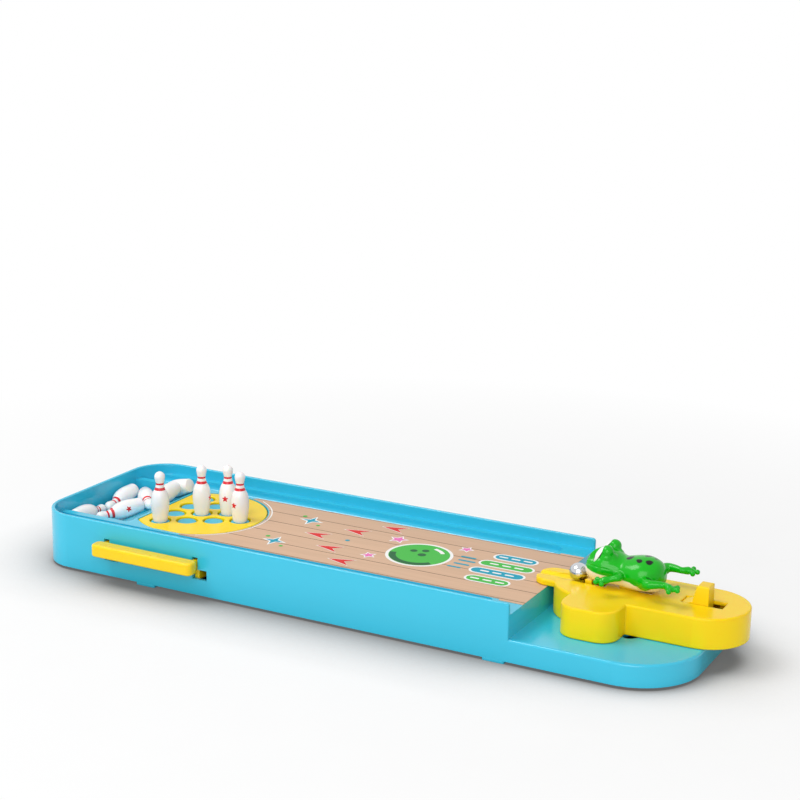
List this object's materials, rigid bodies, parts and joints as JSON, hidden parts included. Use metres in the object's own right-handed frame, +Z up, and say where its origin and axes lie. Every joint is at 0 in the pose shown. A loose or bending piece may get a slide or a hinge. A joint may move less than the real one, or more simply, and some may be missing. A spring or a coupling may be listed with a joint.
{
  "type": "tabletop bowling game",
  "caption": "Tabletop bowling game: rimmed lane with gutters, turning launcher with a spring striker under a frog figure, steel ball, pins and a pin setter with a side handle.",
  "frame": {"origin": "centre of the footprint's bounding box, on the table", "axes": "+X along the lane from the pin end to the launcher, +Y to the far side, away from the handle, +Z up"},
  "size_m": [0.3904, 0.1244, 0.0535],
  "materials": {
    "blue_plastic": "gloss",
    "blue_cover": "satin",
    "blue_pads": "gloss",
    "yellow_plastic": "gloss",
    "yellow_base": "gloss",
    "yellow_slider": "gloss",
    "green_plastic": "gloss",
    "cream_plastic": "gloss",
    "pin_white": "gloss",
    "printed_sheet": "satin",
    "screw_steel": "zinc",
    "washer_steel": "zinc",
    "spring_steel": "bright",
    "polished_steel": "polished"
  },
  "bodies": {
    "tray": {"tray": "blue_plastic", "bottom_cover": "blue_cover", "cover_screws": "screw_steel", "lane_sticker": "printed_sheet", "setter_plate": "yellow_plastic", "plate_screws": "screw_steel", "lift_spring": "spring_steel"},
    "pin_lift": {"pin_pads": "blue_pads", "lift_frame": "blue_pads", "lift_handle": "yellow_plastic", "pad_screws": "screw_steel", "handle_screws": "screw_steel"},
    "launcher": {"launcher_housing": "yellow_plastic", "launcher_base": "yellow_base", "housing_screws": "screw_steel", "hub_washer": "washer_steel", "hub_screw": "screw_steel", "guide_washer": "washer_steel", "guide_screw": "screw_steel", "striker_spring": "spring_steel"},
    "striker": {"striker_slider": "yellow_slider", "frog_body": "green_plastic", "frog_belly": "cream_plastic", "frog_screw": "screw_steel"},
    "ball": {"steel_ball": "polished_steel"},
    "pin_1": {"pin_1": "pin_white"},
    "pin_2": {"pin_2": "pin_white"},
    "pin_3": {"pin_3": "pin_white"},
    "pin_4": {"pin_4": "pin_white"},
    "pin_5": {"pin_5": "pin_white"},
    "pin_6": {"pin_6": "pin_white"},
    "pin_7": {"pin_7": "pin_white"},
    "pin_8": {"pin_8": "pin_white"},
    "pin_9": {"pin_9": "pin_white"},
    "pin_10": {"pin_10": "pin_white"}
  },
  "joints": [
    {"name": "pin_lift_slide", "type": "slide", "parent": "tray", "child": "pin_lift", "axis": [0, 0, 1], "range_m": [-0.0045, 0], "stiffness_N_per_m": 150, "springref_m": 0.004, "deforming": ["lift_spring"]},
    {"name": "launcher_turn", "type": "hinge", "parent": "tray", "child": "launcher", "pos_m": [0.11682, 0.00525, 0.0131], "axis": [0, 0, 1], "range_deg": [-30, 40]},
    {"name": "striker_slide", "type": "slide", "parent": "launcher", "child": "striker", "axis": [1, 0, 0], "range_m": [0, 0.007], "stiffness_N_per_m": 120, "springref_m": -0.003, "deforming": ["striker_spring"]},
    {"name": "ball_roll", "type": "slide", "parent": "launcher", "child": "ball", "axis": [-1, 0, 0], "range_m": [0, 0.045]},
    {"name": "pin_1_lift", "type": "slide", "parent": "pin_lift", "child": "pin_1", "axis": [0, 0, 1], "range_m": [0, 0.035]},
    {"name": "pin_2_lift", "type": "slide", "parent": "pin_lift", "child": "pin_2", "axis": [0, 0, 1], "range_m": [0, 0.035]},
    {"name": "pin_3_lift", "type": "slide", "parent": "pin_lift", "child": "pin_3", "axis": [0, 0, 1], "range_m": [0, 0.035]},
    {"name": "pin_4_lift", "type": "slide", "parent": "pin_lift", "child": "pin_4", "axis": [0, 0, 1], "range_m": [0, 0.035]},
    {"name": "pin_5_lift", "type": "slide", "parent": "tray", "child": "pin_5", "axis": [0, 0, 1], "range_m": [0, 0.035]},
    {"name": "pin_6_lift", "type": "slide", "parent": "tray", "child": "pin_6", "axis": [0, 0, 1], "range_m": [0, 0.035]},
    {"name": "pin_7_lift", "type": "slide", "parent": "tray", "child": "pin_7", "axis": [0, 0, 1], "range_m": [0, 0.035]},
    {"name": "pin_8_lift", "type": "slide", "parent": "tray", "child": "pin_8", "axis": [0, 0, 1], "range_m": [0, 0.035]},
    {"name": "pin_9_lift", "type": "slide", "parent": "tray", "child": "pin_9", "axis": [0, 0, 1], "range_m": [0, 0.035]},
    {"name": "pin_10_lift", "type": "slide", "parent": "tray", "child": "pin_10", "axis": [0, 0, 1], "range_m": [0, 0.035]}
  ]
}
